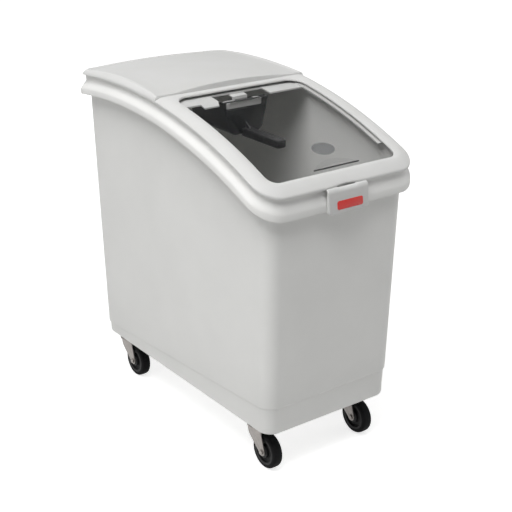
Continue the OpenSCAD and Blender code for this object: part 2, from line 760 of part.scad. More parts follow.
module plate() {
    color(zinc) difference() {
        union() {
            translate([0, 0, caster_h - plate_t])
                linear_extrude(plate_t) rounded_rect(plate_w, plate_l, plate_r);
            translate([0, 0, race_low]) cylinder(d = race_d, h = race_h);
        }
        translate([0, 0, race_low - overrun]) cylinder(d = kingpin_d, h = race_h + plate_t + 2*overrun);
        at_plate_holes() translate([0, 0, caster_h - plate_t - overrun])
            cylinder(d = plate_screw_d + 2*fit_gap, h = plate_t + 2*overrun);
        ball_groove();
    }
}

module kingpin() {
    head_top = crown_low - seat_gap;
    color(zinc) union() {
        translate([0, 0, head_top - kingpin_head_h]) {
            cylinder(d = kingpin_head_d, h = kingpin_head_h);
            cylinder(d = kingpin_d, h = caster_h - head_top + kingpin_head_h);
        }
    }
}

module balls() {
    color(zinc) for (i = [0 : ball_n - 1])
        rotate([0, 0, 360*i/ball_n]) translate([ball_circle_r, 0, ball_z]) sphere(d = ball_d);
}

// Outline of a tapered blade round two circles
function blade(c1, r1, c2, r2) = let (
        d = c2 - c1, turn = atan2(d.y, d.x), spread = acos((r1 - r2)/norm(d)), steps = 2*corner_steps)
    concat([for (i = [0 : steps]) let (a = turn + spread + (360 - 2*spread)*i/steps)
            c1 + r1*[cos(a), sin(a)]],
        [for (i = [0 : steps]) let (a = turn - spread + 2*spread*i/steps)
            c2 + r2*[cos(a), sin(a)]]);

module fork() {
    top_r = crown_d*leg_top_r_share;
    top_z = crown_low - leg_top_drop;
    color(zinc) difference() {
        union() {
            translate([0, 0, crown_low]) cylinder(d = crown_d, h = crown_t);
            for (side = [-1, 1]) translate([side*(fork_gap + leg_t)/2, 0, 0]) across(leg_t) intersection() {
                union() {
                    polygon(blade([leg_top_y, top_z], top_r, [-trail, axle_z], boss_r));
                    translate([leg_top_y - top_r, top_z]) square([2*top_r, leg_top_drop + crown_t]);
                }
                translate([-crown_d, 0]) square([2*crown_d, crown_low + crown_t/2]);
            }
        }
        ball_groove();
        translate([0, 0, crown_low - overrun])
            cylinder(d = kingpin_d + 2*running_gap, h = crown_t + 2*overrun);
        at_axle() cylinder(d = axle_d + 2*fit_gap, h = fork_gap + 4*leg_t, center = true);
    }
}

module at_axle() {
    translate([0, -trail, axle_z]) rotate([0, 90, 0]) children();
}

module axle() {
    reach = fork_gap/2 + leg_t;
    color(zinc) at_axle() {
        cylinder(d = axle_d, h = 2*(reach + axle_head_h), center = true);
        for (end = [-reach - axle_head_h, reach]) translate([0, 0, end])
            cylinder(d = axle_head_d, h = axle_head_h, $fn = 6);
    }
}

module bush() {
    color(zinc) at_axle() difference() {
        cylinder(d = bush_d, h = fork_gap, center = true);
        cylinder(d = axle_d + 2*fit_gap, h = fork_gap + 2*overrun, center = true);
    }
}

module hub() {
    bore_r = bush_d/2 + running_gap;
    boss_hw = fork_gap/2 - hub_side_play;
    seat = wheel_d/2 - tyre_t;
    color(black_rubber) at_axle() rotate_extrude() union() {
        translate([bore_r, -boss_hw]) square([hub_r - bore_r, 2*boss_hw]);
        translate([bore_r, -web_t/2]) square([seat - bore_r, web_t]);
        translate([seat - hub_rim_t, -wheel_w/2]) square([hub_rim_t, wheel_w]);
    }
}

module tyre() {
    seat = wheel_d/2 - tyre_t;
    color(black_rubber) at_axle() rotate_extrude() {
        translate([seat, -wheel_w/2]) square([tyre_t - tyre_round, wheel_w]);
        translate([seat, tyre_round - wheel_w/2]) square([tyre_t, wheel_w - 2*tyre_round]);
        for (side = [-1, 1]) intersection() {
            translate([wheel_d/2 - tyre_round, side*(wheel_w/2 - tyre_round)]) circle(tyre_round);
            translate([seat, -wheel_w/2]) square([tyre_t, wheel_w]);
        }
    }
}

module plate_screws() {
    color(zinc) for (i = [0 : 3]) at_caster(i) at_plate_holes() {
        translate([0, 0, caster_h - plate_t])
            cylinder(d = plate_screw_d, h = plate_t + wall_t + pad_h - 2*pad_rim);
        translate([0, 0, caster_h - plate_t - plate_screw_head_h])
            cylinder(d = plate_screw_head_d, h = plate_screw_head_h);
    }
}

tub();
lift_tab();
tab_inlay();
front_frame();
rear_cover();
runner_frame();
runner_screws();
scoop_hook();
window_panel();
window_pull();
scoop_bowl();
scoop_handle();
plate_screws();
for (i = [0 : 3]) {
    at_caster(i) plate();
    at_caster(i) kingpin();
    at_caster(i) balls();
    at_caster(i) fork();
    at_caster(i) axle();
    at_caster(i) bush();
    at_caster(i) hub();
    at_caster(i) tyre();
}
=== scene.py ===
import json
import math
import bmesh
import bpy
from mathutils import Matrix, Vector


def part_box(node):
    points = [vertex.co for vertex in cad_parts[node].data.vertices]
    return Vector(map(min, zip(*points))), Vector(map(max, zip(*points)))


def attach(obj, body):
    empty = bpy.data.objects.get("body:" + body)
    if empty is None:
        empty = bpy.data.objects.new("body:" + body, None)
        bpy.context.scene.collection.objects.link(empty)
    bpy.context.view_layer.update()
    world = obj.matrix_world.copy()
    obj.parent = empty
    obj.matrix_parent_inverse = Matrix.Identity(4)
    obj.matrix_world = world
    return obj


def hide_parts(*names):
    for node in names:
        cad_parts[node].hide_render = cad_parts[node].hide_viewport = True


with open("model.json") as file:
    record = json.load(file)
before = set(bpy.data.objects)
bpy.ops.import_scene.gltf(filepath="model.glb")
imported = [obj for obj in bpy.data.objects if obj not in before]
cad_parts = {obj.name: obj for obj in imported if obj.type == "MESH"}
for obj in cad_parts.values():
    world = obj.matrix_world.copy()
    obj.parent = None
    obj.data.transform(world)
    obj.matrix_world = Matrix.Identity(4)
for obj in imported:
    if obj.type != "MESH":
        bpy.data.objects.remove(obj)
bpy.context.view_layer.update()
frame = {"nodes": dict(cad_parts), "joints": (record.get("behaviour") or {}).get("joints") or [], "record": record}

nodes = frame["nodes"]
scene = bpy.context.scene
mm = 0.001
hair = 0.1 * mm  # places closer than this count as one
nearby = 1 * mm  # and within this they lie on the same side of a piece


# colours are written as seen on screen and turned to linear here
def linear(hexColour):
    parts = [int(hexColour[i:i + 2], 16) / 255 for i in (1, 3, 5)]
    return [p / 12.92 if p <= 0.04045 else ((p + 0.055) / 1.055) ** 2.4 for p in parts] + [1.0]


# camera at the photo's place, front left and a little above
cameraSet = {"place": (-1.3536, -1.8900, 1.2830), "target": (0.0313, -0.0202, 0.3513), "lens": 80.6}
camera = bpy.data.objects.new("camera", bpy.data.cameras.new("camera"))
camera.data.lens = cameraSet["lens"]
camera.location = cameraSet["place"]
lookAlong = Vector(cameraSet["target"]) - Vector(cameraSet["place"])
camera.rotation_euler = lookAlong.to_track_quat("-Z", "Y").to_euler()
scene.collection.objects.link(camera)
scene.camera = camera
scene.view_settings.view_transform = "Standard"
print("camera set")


def addNode(tree, kind, values=None, links=None, **settings):
    node = tree.nodes.new(kind)
    for name, value in settings.items():
        setattr(node, name, value)
    for socket, value in (values or {}).items():
        node.inputs[socket].default_value = value
    for socket, source in (links or {}).items():
        tree.links.new(source, node.inputs[socket])
    return node


def newMaterial(name, shader):
    material = bpy.data.materials.new(name)
    material.use_nodes = True
    tree = material.node_tree
    tree.nodes.clear()
    main = addNode(tree, "ShaderNodeBsdfPrincipled", shader)
    addNode(tree, "ShaderNodeOutputMaterial", links={"Surface": main.outputs[0]})
    where = addNode(tree, "ShaderNodeTexCoord")
    return material, tree, main, where.outputs["Object"]


# moulded plastics and rubber: soft mottling of the colour, a grain you can just see and uneven gloss
grainSet = {"ior": 1.5, "mottleDetail": 4.0, "tintFrom": 0.3, "tintTo": 0.7, "grainDetail": 2.0, "bump": 0.4}


def grainedPlastic(name, shade, darker, mottle, grain, grainDepth, gloss, **extra):
    s = grainSet
    material, tree, main, where = newMaterial(name, {"IOR": s["ior"], **extra})
    clouds = addNode(tree, "ShaderNodeTexNoise", {"Scale": 1 / mottle, "Detail": s["mottleDetail"]},
                     {"Vector": where})
    tint = addNode(tree, "ShaderNodeValToRGB", links={"Fac": clouds.outputs[0]})
    tint.color_ramp.elements[0].position = s["tintFrom"]
    tint.color_ramp.elements[1].position = s["tintTo"]
    tint.color_ramp.elements[0].color = linear(darker)
    tint.color_ramp.elements[1].color = linear(shade)
    tree.links.new(tint.outputs[0], main.inputs["Base Color"])
    rough = addNode(tree, "ShaderNodeMapRange", {"To Min": gloss[0], "To Max": gloss[1]},
                    {"Value": clouds.outputs[0]})
    tree.links.new(rough.outputs[0], main.inputs["Roughness"])
    speckle = addNode(tree, "ShaderNodeTexNoise", {"Scale": 1 / grain, "Detail": s["grainDetail"]},
                      {"Vector": where})
    bump = addNode(tree, "ShaderNodeBump", {"Strength": s["bump"], "Distance": grainDepth},
                   {"Height": speckle.outputs[0]})
    tree.links.new(bump.outputs[0], main.inputs["Normal"])
    return material


# rotation-moulded polyethylene: off-white, satin, a soft pebble from the mould
tubPlastic = grainedPlastic("moulded_polyethylene", "#E7E7E5", "#E3E3E1", 120 * mm, 1.6 * mm, 0.06 * mm,
                            (0.50, 0.60), **{"Specular IOR Level": 0.35})
# injection-moulded polypropylene: a shade greyer and smoother than the tub, with a soft gloss
lidPlastic = grainedPlastic("moulded_polypropylene", "#D1D1D0", "#CCCCCA", 90 * mm, 1.2 * mm, 0.03 * mm,
                            (0.40, 0.50), **{"Specular IOR Level": 0.2})
# the same plastic from an etched part of the mould: dull, with a fine sand texture, and painted a shade greyer for
# the shade on the flat deck beside its lit shoulders
deckShadedPlastic = grainedPlastic("etched_polypropylene", "#CACAC9", "#C6C6C4", 90 * mm, 0.9 * mm, 0.08 * mm,
                             (0.62, 0.72), **{"Specular IOR Level": 0.3})
# moulded ABS bar: even red with a clear gloss
inlayPlastic = grainedPlastic("moulded_abs_red", "#D6281F", "#CC231B", 20 * mm, 0.8 * mm, 0.02 * mm, (0.22, 0.30))
# moulded nylon: near black, with a dull sheen
handlePlastic = grainedPlastic("moulded_nylon_black", "#1B1B1C", "#151516", 30 * mm, 1.0 * mm, 0.05 * mm,
                               (0.38, 0.52))
# moulded polypropylene of the wheel core: black and half dull
hubPlastic = grainedPlastic("moulded_polypropylene_black", "#161617", "#101011", 25 * mm, 1.0 * mm, 0.04 * mm,
                            (0.40, 0.55), **{"Specular IOR Level": 0.2})
# vulcanised rubber: black, dusty and dull
tyreRubber = grainedPlastic("vulcanised_rubber", "#151516", "#0F0F10", 14 * mm, 0.9 * mm, 0.10 * mm,
                            (0.62, 0.80), **{"Specular IOR Level": 0.08})


# clear sheet: smoke tint, with faint streaks of wiping that roughen the gloss
clearSet = {"ior": 1.58, "shine": 0.5, "streak": (60 * mm, 9 * mm, 9 * mm), "streakDetail": 3.0}


def clearPlastic(name, tint, rough, alpha):
    s = clearSet
    material, tree, main, where = newMaterial(name, {
        "Base Color": linear(tint), "IOR": s["ior"], "Alpha": alpha, "Specular IOR Level": s["shine"]})
    streaks = addNode(tree, "ShaderNodeMapping", {"Scale": [1 / size for size in s["streak"]]}, {"Vector": where})
    smear = addNode(tree, "ShaderNodeTexNoise", {"Scale": 1.0, "Detail": s["streakDetail"]},
                    {"Vector": streaks.outputs[0]})
    gloss = addNode(tree, "ShaderNodeMapRange", {"To Min": rough[0], "To Max": rough[1]},
                    {"Value": smear.outputs[0]})
    tree.links.new(gloss.outputs[0], main.inputs["Roughness"])
    return material


# extruded polycarbonate sheet: a light smoke tint over what is behind it
windowPlastic = clearPlastic("extruded_polycarbonate", "#3A3C3E", (0.04, 0.10), 0.04)
# moulded polycarbonate scoop: a deep smoke tint
scoopPlastic = clearPlastic("moulded_polycarbonate_smoke", "#141618", (0.08, 0.18), 0.88)
# near-black strip at the finger pull: painted shade for the shadow in the slit under the hood
slitShadePlastic = clearPlastic("sawn_polycarbonate", "#0C0D0E", (0.35, 0.5), 0.9)
# grey oval patch on the sheet: dull and half clear
veilPlastic = clearPlastic("etched_polycarbonate", "#5E6062", (0.55, 0.7), 0.45)


# zinc-plated pressed steel: warm grey, with a faint spangle that breaks up the gloss, coarser than life to show
def platedSteel(name, shade, darker, spangle, gloss):
    material, tree, main, where = newMaterial(name, {"Metallic": 1.0})
    cells = addNode(tree, "ShaderNodeTexVoronoi", {"Scale": 1 / spangle}, {"Vector": where})
    tint = addNode(tree, "ShaderNodeValToRGB", links={"Fac": cells.outputs["Color"]})
    tint.color_ramp.elements[0].color = linear(darker)
    tint.color_ramp.elements[1].color = linear(shade)
    tree.links.new(tint.outputs[0], main.inputs["Base Color"])
    rough = addNode(tree, "ShaderNodeMapRange", {"To Min": gloss[0], "To Max": gloss[1]},
                    {"Value": cells.outputs["Color"]})
    tree.links.new(rough.outputs[0], main.inputs["Roughness"])
    return material


zincSteel = platedSteel("zinc_plated_steel", "#95908D", "#85817E", 5 * mm, (0.32, 0.46))
print("materials made")

meshSet = {"merge": 0.005 * mm, "cadMerge": 0.002 * mm, "flatAngle": 0.5}


def addPiece(name, bm, body, material, slotName, *stands, angle=32, others=()):
    bmesh.ops.remove_doubles(bm, verts=bm.verts, dist=meshSet["merge"])
    bmesh.ops.recalc_face_normals(bm, faces=bm.faces)
    mesh = bpy.data.meshes.new(name)
    bm.to_mesh(mesh)
    bm.free()
    for finish in (material, *others):
        mesh.materials.append(finish)
    mesh.shade_smooth()
    mesh.set_sharp_from_angle(angle=math.radians(angle))
    piece = bpy.data.objects.new(name, mesh)
    scene.collection.objects.link(piece)
    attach(piece, body)
    if stands:
        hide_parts(*stands)
    return piece


def roundEdges(bm, edges, width, segments, clamp=False):
    bmesh.ops.bevel(bm, geom=edges, offset=width, segments=segments, profile=0.5, affect="EDGES",
                    clamp_overlap=clamp, material=-1)


def sharpEdges(bm, angle):
    return [e for e in bm.edges if len(e.link_faces) == 2 and e.calc_face_angle() > math.radians(angle)]


def edgesOf(verts):
    return list({e for v in verts for e in v.link_edges})


# faces made after the plain ones get the piece's second finish
def secondFinish(bm, plain):
    for face in bm.faces:
        face.material_index = 0 if face in plain else 1


# merged copy of a plain piece's mesh, with its flat faces made whole
def mergedCopy(node):
    bm = bmesh.new()
    bm.from_mesh(nodes[node].data)
    bmesh.ops.remove_doubles(bm, verts=bm.verts, dist=meshSet["cadMerge"])
    bmesh.ops.dissolve_limit(bm, angle_limit=math.radians(meshSet["flatAngle"]), verts=bm.verts, edges=bm.edges)
    return bm


# every long edge of the bin is an arc about the axis that the window slides round
slide = next(j for j in frame["joints"] if j["name"] == "window_slide")
archCentre = Vector(slide["pos_m"])


def archHeight(y, radius):
    return archCentre.z + math.sqrt(radius ** 2 - (y - archCentre.y) ** 2)


ringSteps = {"corner": 10, "side": 44, "end": 30}


# rounded rectangle in plan, with the same stations whatever its size
def outline(halfWidth, front, rear, frontCorner, rearCorner):
    corners = [(halfWidth - frontCorner, front + frontCorner, frontCorner),
               (halfWidth - rearCorner, rear - rearCorner, rearCorner),
               (rearCorner - halfWidth, rear - rearCorner, rearCorner),
               (frontCorner - halfWidth, front + frontCorner, frontCorner)]
    arcs = []
    for turn, (x, y, r) in enumerate(corners):
        angles = [math.radians(90 * (turn - 1 + i / ringSteps["corner"])) for i in range(ringSteps["corner"] + 1)]
        arcs.append([Vector((x + r * math.cos(a), y + r * math.sin(a))) for a in angles])
    points = []
    for turn, arc in enumerate(arcs):
        run = ringSteps["side"] if turn % 2 == 0 else ringSteps["end"]
        nextStart = arcs[(turn + 1) % 4][0]
        points += arc + [arc[-1].lerp(nextStart, i / run) for i in range(1, run)]
    return points


def onArch(points, radius):
    return [Vector((p.x, p.y, archHeight(p.y, radius))) for p in points]


def atLevel(points, z):
    return [Vector((p.x, p.y, z)) for p in points]


# a shell grows ring by ring: each ring is extruded from the last and set in its place
def growShell(bm, rings, closed=False):
    ring = [bm.verts.new(place) for place in rings[0]]
    first = [bm.edges.new(pair) for pair in zip(ring, ring[1:] + ring[:1])]
    for places in rings[1:]:
        edges = [bm.edges.get(pair) for pair in zip(ring, ring[1:] + ring[:1])]
        made = bmesh.ops.extrude_edge_only(bm, edges=edges)["geom"]
        fresh = {v for v in made if isinstance(v, bmesh.types.BMVert)}
        ring = [next(e.other_vert(v) for e in v.link_edges if e.other_vert(v) in fresh) for v in ring]
        for vert, place in zip(ring, places):
            vert.co = place
    last = [bm.edges.get(pair) for pair in zip(ring, ring[1:] + ring[:1])]
    if closed:
        bmesh.ops.bridge_loops(bm, edges=first + last)
    return first, last


def smoothStep(t):
    t = min(max(t, 0.0), 1.0)
    return t * t * (3 - 2 * t)


def quarterTurn(steps):
    return [math.radians(90 * i / steps) for i in range(steps + 1)]


def capShell(bm, rings):
    for loop in growShell(bm, rings):
        bmesh.ops.contextual_create(bm, geom=loop)


casterCorners = ("fl", "fr", "rl", "rr")

# tub: drafted walls, a plinth step that falls to the rear, a rim with a flat band and a coved neck
tubLow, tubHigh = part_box("tub")
tubSet = {"rimCorner": 55 * mm, "wallCorner": 33 * mm, "sideOut": 23 * mm, "frontOut": 16 * mm,
          "rearOut": 20 * mm, "roll": 20 * mm, "swell": 5 * mm, "rimEdge": 1.6 * mm, "neck": 23.7 * mm,
          "neckIn": 13 * mm, "neckFrontIn": 6.5 * mm, "wall": 4 * mm, "sideDraft": 1.0, "frontDraft": 1.7,
          "rearDraft": 1.4, "plinthFront": 64 * mm, "plinthRear": 24 * mm, "step": 3 * mm,
          "baseRound": 4 * mm, "floorRound": 10 * mm, "seatEdge": 1.5 * mm, "rollEdge": 1.5 * mm,
          "coveDrop": 14 * mm, "padHeight": 10 * mm, "padRound": 3 * mm, "roundSteps": 6, "wallSteps": 6,
          "edgeSteps": 4, "coveSteps": 14}
seatR = tubHigh.z - archCentre.z
rollR = seatR - tubSet["neck"]
rimR = rollR - tubSet["roll"]
crestZ = archCentre.z + rimR
frontRimZ = archHeight(tubLow.y, rimR)


def rimRing(inset, frontInset):
    corner = tubSet["rimCorner"] - inset
    return outline(tubHigh.x - inset, tubLow.y + frontInset, tubHigh.y - inset, corner, corner)


def draft(drop, angle):
    return drop * math.tan(math.radians(tubSet[angle]))


def wallRing(z, inset):
    corner = tubSet["wallCorner"] - inset
    return outline(tubHigh.x - tubSet["sideOut"] - draft(crestZ - z, "sideDraft") - inset,
                   tubLow.y + tubSet["frontOut"] + draft(frontRimZ - z, "frontDraft") + inset,
                   tubHigh.y - tubSet["rearOut"] - draft(crestZ - z, "rearDraft") - inset, corner, corner)


def plinthZ(y):
    share = (y - tubLow.y) / (tubHigh.y - tubLow.y)
    return tubLow.z + tubSet["plinthFront"] + share * (tubSet["plinthRear"] - tubSet["plinthFront"])


# wall ring whose height changes round the bin: a share of the way from the plinth line up to the arch
def risingRing(share, radius, inset, up=0.0):
    places = []
    for i, start in enumerate(wallRing(crestZ, inset)):
        z = plinthZ(start.y) + up + share * (archHeight(start.y, radius) - plinthZ(start.y) - up)
        p = wallRing(z, inset)[i]
        places.append(Vector((p.x, p.y, z)))
    return places


def buildTub():
    s = tubSet
    wall, walls = s["wall"], s["wallSteps"]
    rings = []
    for turn in quarterTurn(s["roundSteps"]):
        inset = s["step"] + s["baseRound"] * (1 - math.sin(turn))
        rings.append(atLevel(wallRing(tubLow.z, inset), tubLow.z + s["baseRound"] * (1 - math.cos(turn))))
    shares = [i / walls for i in range(walls + 1)]
    for share in shares:
        rings.append(risingRing(0, rimR, s["step"] * (1 - smoothStep(share)), -s["step"] * 2 * (1 - share)))
    rings += [risingRing(share, seatR - wall, 0) for share in shares[1:]]
    # under the flange, down the inside of the rim, round its edge and up the neck
    neckInner = rimRing(s["neckIn"] + wall, s["neckFrontIn"] + wall)
    rings += [onArch(neckInner, seatR - wall), onArch(neckInner, rollR)]
    rings.append(onArch(rimRing(s["swell"] + wall, s["swell"] + wall), rollR - s["roll"] / 3))
    rings.append(onArch(rimRing(s["swell"] + wall, s["swell"] + wall), rimR + s["rollEdge"]))
    rings.append(onArch(rimRing(s["swell"] + wall / 2, s["swell"] + wall / 2), rimR))
    edge = s["rimEdge"]
    for turn in quarterTurn(s["edgeSteps"]):
        inset = edge * (1 - math.sin(turn))
        rings.append(onArch(rimRing(inset, inset), rimR + edge * (1 - math.cos(turn))))
    coveTop = seatR - s["coveDrop"]
    coveLow = rimR + s["roll"] / 2
    for i in range(s["coveSteps"]):
        share = (i + 1) / s["coveSteps"]
        bend = smoothStep(share)
        rings.append(onArch(rimRing(s["neckIn"] * bend, s["neckFrontIn"] * bend),
                            coveLow + share * (coveTop - coveLow)))
    rings.append(onArch(rimRing(s["neckIn"], s["neckFrontIn"]), seatR - s["seatEdge"]))
    rings.append(onArch(rimRing(s["neckIn"] + s["seatEdge"], s["neckFrontIn"] + s["seatEdge"]), seatR))
    # down the inside of the wall to the floor
    falling = [1 - share for share in shares]
    rings += [risingRing(share, seatR, wall) for share in falling[:-1]]
    for share in falling:
        rings.append(risingRing(0, rimR, wall + s["step"] * (1 - smoothStep(share)), -s["step"] * 2 * (1 - share)))
    floorZ = tubLow.z + wall
    for turn in quarterTurn(s["roundSteps"]):
        inset = s["step"] + wall + s["floorRound"] * (1 - math.cos(turn))
        rings.append(atLevel(wallRing(floorZ, inset), floorZ + s["floorRound"] * (1 - math.sin(turn))))
    bm = bmesh.new()
    capShell(bm, rings)
    for corner in casterCorners:
        low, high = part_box("plate_" + corner)
        pad = bmesh.ops.create_cube(bm, size=1)["verts"]
        size = (high.x - low.x, high.y - low.y, 2 * s["padHeight"])
        middle = ((low.x + high.x) / 2, (low.y + high.y) / 2, floorZ)
        bmesh.ops.transform(bm, matrix=Matrix.LocRotScale(Vector(middle), None, Vector(size)), verts=pad)
        roundEdges(bm, edgesOf(pad), s["padRound"], 3)
    return addPiece("tubShell", bm, "tub", tubPlastic, "tub_plastic", "tub")


buildTub()
print("tub built")

# lid frame: sloping rails and front lip round the window opening, with a short nosing at the rear
frameLow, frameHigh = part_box("front_frame")
lidSet = {"skin": 5 * mm, "skirt": 5 * mm, "skirtDrop": 5.5 * mm, "corner": 49 * mm, "seamCorner": 3 * mm,
          "seamShare": 0.25, "lip": 29.4 * mm, "nosing": 14 * mm, "openingIn": 35 * mm, "openingCorner": 20 * mm,
          "openingRearCorner": 32 * mm, "railSlope": 20 * mm, "railLow": -0.6 * mm, "crown": 6.2 * mm,
          "railBend": 1.6, "openingRound": 3.5 * mm, "recessHalf": 38 * mm, "recessDepth": 4.5 * mm,
          "recessHeight": 11 * mm, "recessFade": 1.5, "recessBow": 2, "recessSpare": 3 * mm, "seat": 0.3 * mm,
          "skirtEase": 0.8 * mm, "railFoot": 2 * mm, "railEdge": (0.3 * mm, 0.8 * mm), "railIn": 1.2 * mm,
          "railSteps": 11, "seamRise": 0.75, "crownOut": 6 * mm, "crownFall": 0.3 * mm, "openingSteps": 5,
          "openingEase": 0.5 * mm, "underShares": (0.33, 0.67)}
lidR = seatR + lidSet["seat"]
skirtR = lidR - lidSet["skirtDrop"]
seamY = frameHigh.y
openingHalf = frameHigh.x - lidSet["openingIn"]
openingFront = frameLow.y + lidSet["lip"]
openingRear = seamY - lidSet["nosing"]


def seamCorner(inset):
    return max(lidSet["seamCorner"] - inset, lidSet["seamCorner"] / 4)


def frameRing(inset):
    return outline(frameHigh.x - inset, frameLow.y + inset, seamY - inset * lidSet["seamShare"],
                   lidSet["corner"] - inset, seamCorner(inset))


def openingRing(out):
    return outline(openingHalf + out, openingFront - out, openingRear + out,
                   lidSet["openingCorner"] + out, lidSet["openingRearCorner"] + out)


# finger recess in the lip: deepest at the skirt's lower edge, fading upwards
def recessed(places, radius, spare=0.0):
    fade = max(0.0, 1 - (radius - skirtR) / lidSet["recessHeight"]) ** lidSet["recessFade"]
    for p in places:
        bow = 1 - (p.x / lidSet["recessHalf"]) ** 2
        if bow > 0 and p.y < openingFront - lidSet["lip"] / 2:
            p.y += max(0.0, lidSet["recessDepth"] * bow ** lidSet["recessBow"] * fade - spare)
            p.z = archHeight(p.y, radius)
    return places


# the skirt runs round the sides and the front, and stops at the seam with the cover
def edgeOnArch(inset, radius, floorRadius):
    places = []
    for p in frameRing(inset):
        atSeam = p.y > seamY - inset * lidSet["seamShare"] - hair
        onSeam = atSeam and abs(p.x) < frameHigh.x - inset - seamCorner(inset) - hair
        places.append(Vector((p.x, p.y, archHeight(p.y, max(radius, floorRadius) if onSeam else radius))))
    return places


def buildFrame():
    s = lidSet
    skin = s["skin"]
    low = lidR + s["railLow"]
    edgeIn, edgeDown = s["railEdge"]
    edges = [(s["skirtEase"], skirtR), (0, skirtR + s["skirtEase"]), (0, low - s["railFoot"]),
             (edgeIn, low - edgeDown)]
    for i in range(s["railSteps"] + 1):
        share = i / s["railSteps"]
        rise = (s["crown"] - s["railLow"]) * (1 - (1 - share) ** s["railBend"])
        edges.append((s["railIn"] + share * s["railSlope"], low + rise))
    rings = [recessed(edgeOnArch(inset, radius, lidR + s["seamRise"] * skin), radius) for inset, radius in edges]
    rings.append(onArch(openingRing(s["crownOut"]), lidR + s["crown"] - s["crownFall"]))
    for turn in quarterTurn(s["openingSteps"]):
        out = s["openingRound"] * (1 - math.sin(turn))
        rings.append(onArch(openingRing(out), lidR + skin - s["openingRound"] * (1 - math.cos(turn))))
    ease = s["openingEase"]
    rings += [onArch(openingRing(0), lidR + ease), onArch(openingRing(ease), lidR)]
    for share in s["underShares"]:
        pairs = zip(openingRing(ease), frameRing(s["skirt"]))
        rings.append(onArch([a.lerp(b, share) for a, b in pairs], lidR))
    for radius in (lidR, skirtR + ease):
        rings.append(recessed(edgeOnArch(s["skirt"], radius, lidR), radius, s["recessSpare"]))
    bm = bmesh.new()
    growShell(bm, rings, closed=True)
    return addPiece("lidFrame", bm, "lid", lidPlastic, "lid_plastic", "front_frame")


buildFrame()
print("lid frame built")

# rear cover: a crowned deck with a ridge over the nosing and crescent shoulders down both sides
coverLow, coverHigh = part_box("rear_cover")
coverSet = {"corner": 49 * mm, "deck": 3.7 * mm, "bead": 3.5 * mm, "crown": 8 * mm, "crownHalf": 141 * mm,
            "crownRear": 0.5, "edge": -1.5 * mm, "shoulder": 16 * mm, "shoulderEnd": 6 * mm, "inner": 24 * mm,
            "shoulderBend": 0.8, "clearHalf": 163 * mm, "clearBack": 5 * mm, "clearRise": 0.9 * mm,
            "thinRear": 4 * mm, "thinFrom": 0.5, "wall": 3 * mm,
            "deckShares": (0.84, 0.68, 0.52, 0.36, 0.2, 0.08)}
# section of the shoulder: share of its width inward, share of its rise
shoulderShares = ((0, 0), (0.03, 0.14), (0.14, 0.36), (0.34, 0.62), (0.56, 0.82), (0.78, 0.95), (0.96, 1.0),
                  (1.1, 0.97), (1.28, 0.86), (1.45, 0.8))


def coverRing(inset):
    return outline(coverHigh.x - inset, coverLow.y + inset * lidSet["seamShare"], coverHigh.y - inset,
                   seamCorner(inset), coverSet["corner"] - inset)


def alongCover(y):
    return min(max((y - coverLow.y) / (coverHigh.y - coverLow.y), 0.0), 1.0)


def coverCrown(p):
    s = coverSet
    fall = 1 - (1 - s["crownRear"]) * alongCover(p.y)
    return s["crown"] * fall * max(0.0, 1 - (p.x / s["crownHalf"]) ** 2)


# the shoulders are widest half way along the cover and thin out at both ends
def shoulderWidth(y):
    s = coverSet
    bulge = math.sin(math.pi * alongCover(y)) ** s["shoulderBend"]
    return s["shoulderEnd"] + (s["shoulder"] - s["shoulderEnd"]) * bulge


# the window passes under the cover's front edge, so nothing hangs down there
def overWindow(p, inset):
    return p.y < coverLow.y + inset + coverSet["clearBack"] and abs(p.x) < coverSet["clearHalf"]


def shoulderRing(inShare, upShare):
    s = coverSet
    places = []
    for outer, inner in zip(coverRing(0), coverRing(s["inner"])):
        p = outer.lerp(inner, inShare * shoulderWidth(outer.y) / s["inner"])
        rise = s["edge"] + (s["deck"] + s["bead"] - s["edge"]) * upShare + coverCrown(p) * upShare
        if overWindow(outer, 0):
            rise = max(rise, s["clearRise"])
        places.append(Vector((p.x, p.y, archHeight(p.y, lidR + rise))))
    return places


def drawnIn(points, share):
    middle = sum(points, Vector((0, 0))) / len(points)
    return [middle + (p - middle) * share for p in points]


def coverEdge(inset, up):
    s = coverSet
    places = []
    for p in coverRing(inset):
        low = skirtR + s["thinRear"] * smoothStep((alongCover(p.y) - s["thinFrom"]) / (1 - s["thinFrom"]))
        places.append(Vector((p.x, p.y, archHeight(p.y, (lidR if overWindow(p, inset) else low) + up))))
    return places


def buildCover():
    s = coverSet
    inner = coverRing(s["inner"])
    under = [[Vector((p.x, p.y, archHeight(p.y, lidR + max(0.0, coverCrown(p) - s["wall"]))))
              for p in drawnIn(inner, share)] for share in reversed(s["deckShares"])]
    rings = under + [onArch(inner, lidR), onArch(coverRing(lidSet["skirt"]), lidR)]
    rings += [coverEdge(lidSet["skirt"], 0), coverEdge(lidSet["skirtEase"], 0),
              coverEdge(0, lidSet["skirtEase"])]
    rings += [shoulderRing(inShare, upShare) for inShare, upShare in shoulderShares]
    bm = bmesh.new()
    bmesh.ops.contextual_create(bm, geom=growShell(bm, rings)[0])
    top = rings[-1]
    deck = [top]
    upShare = shoulderShares[-1][1]
    deckUp = s["deck"] + s["bead"] - (1 - upShare) * (s["deck"] + s["bead"] - s["edge"])
    for share in s["deckShares"]:
        deck.append([Vector((p.x, p.y, archHeight(p.y, lidR + deckUp + coverCrown(p) * upShare)))
                     for p in drawnIn([v.xy for v in top], share)])
    plain = set(bm.faces)
    bmesh.ops.contextual_create(bm, geom=growShell(bm, deck)[1])
    # the deck faces get the greyer finish: painted shade for the flat deck beside the lit shoulders
    secondFinish(bm, plain)
    return addPiece("rearCover", bm, "lid", lidPlastic, "lid_plastic", "rear_cover", others=(deckShadedPlastic,))


buildCover()
print("rear cover built")


